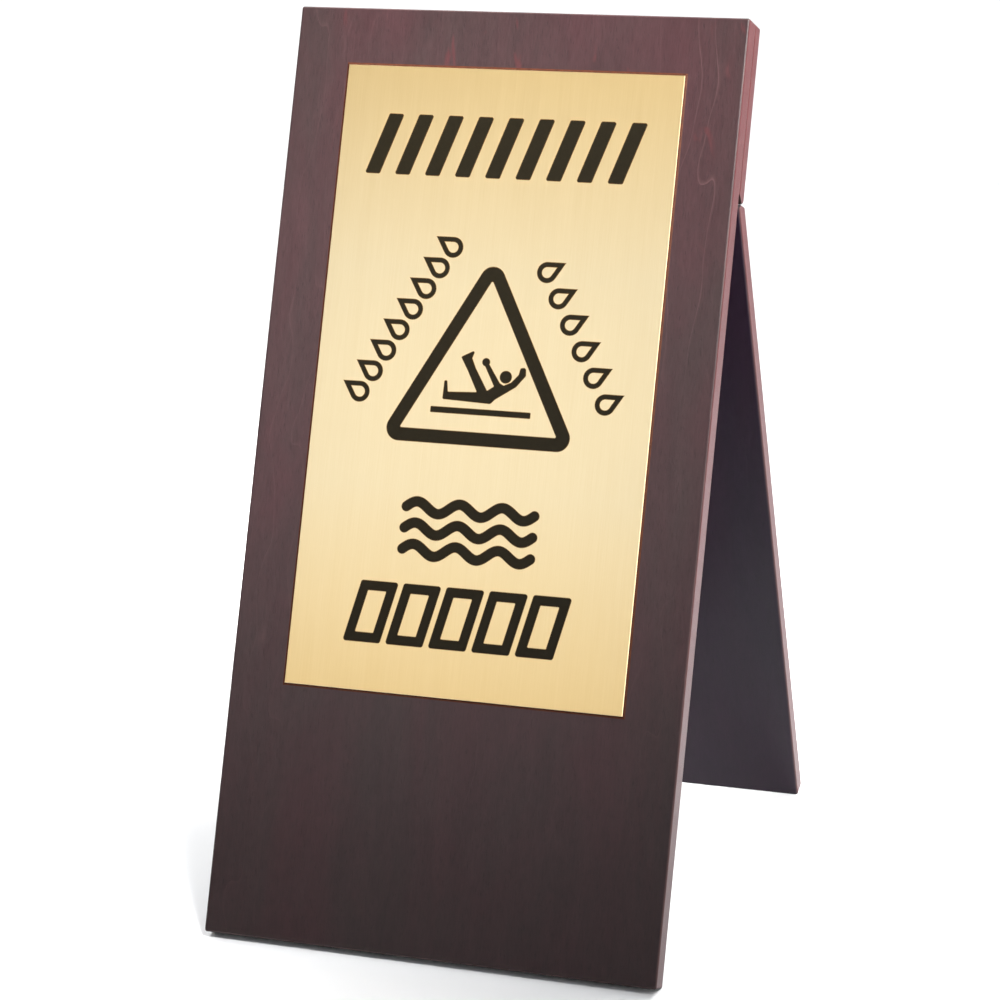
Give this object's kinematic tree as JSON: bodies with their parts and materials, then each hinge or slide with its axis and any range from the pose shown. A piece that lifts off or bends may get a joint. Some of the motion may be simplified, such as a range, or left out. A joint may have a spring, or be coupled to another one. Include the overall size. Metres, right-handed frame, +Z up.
{
  "type": "wet floor sign",
  "caption": "Folding A-frame wet floor sign in dark lacquered wood, with a brushed metal face plate and a rear leg that folds flat on hidden butt hinges.",
  "frame": {"origin": "on the floor, under the middle of the standing sign's bounding box", "axes": "+Z up, +X to the right of someone who reads the sign, -Y the way the face plate looks; the sign stands open on its stop"},
  "size_m": [0.3048, 0.3728, 0.5761],
  "materials": {
    "stained_wood": "dark mahogany stain under satin lacquer, vertical grain",
    "brass_plate": "fine vertical brushing, bevelled edge",
    "legend_black": "black enamel fill of the pictogram and borders on the plate",
    "hinge_brass": "plain rolled brass, slightly dulled",
    "screw_steel": "zinc plated steel",
    "adhesive_film": "thin double-sided film, hidden behind the plate"
  },
  "bodies": {
    "front_panel": {"front_board": "stained_wood", "header_block": "stained_wood", "face_plate": "brass_plate", "plate_adhesive": "adhesive_film", "block_screws": "screw_steel", "left_hinge_upper_leaf": "hinge_brass", "left_hinge_pin": "hinge_brass", "left_upper_leaf_screws": "screw_steel", "right_hinge_upper_leaf": "hinge_brass", "right_hinge_pin": "hinge_brass", "right_upper_leaf_screws": "screw_steel"},
    "leg": {"rear_leg": "stained_wood", "left_hinge_lower_leaf": "hinge_brass", "left_lower_leaf_screws": "screw_steel", "right_hinge_lower_leaf": "hinge_brass", "right_lower_leaf_screws": "screw_steel"}
  },
  "joints": [
    {"name": "leg_fold", "type": "hinge", "parent": "front_panel", "child": "leg", "pos_m": [0, 0.00294, 0.46278], "axis": [1, 0, 0], "range_deg": [-41, 0]}
  ]
}
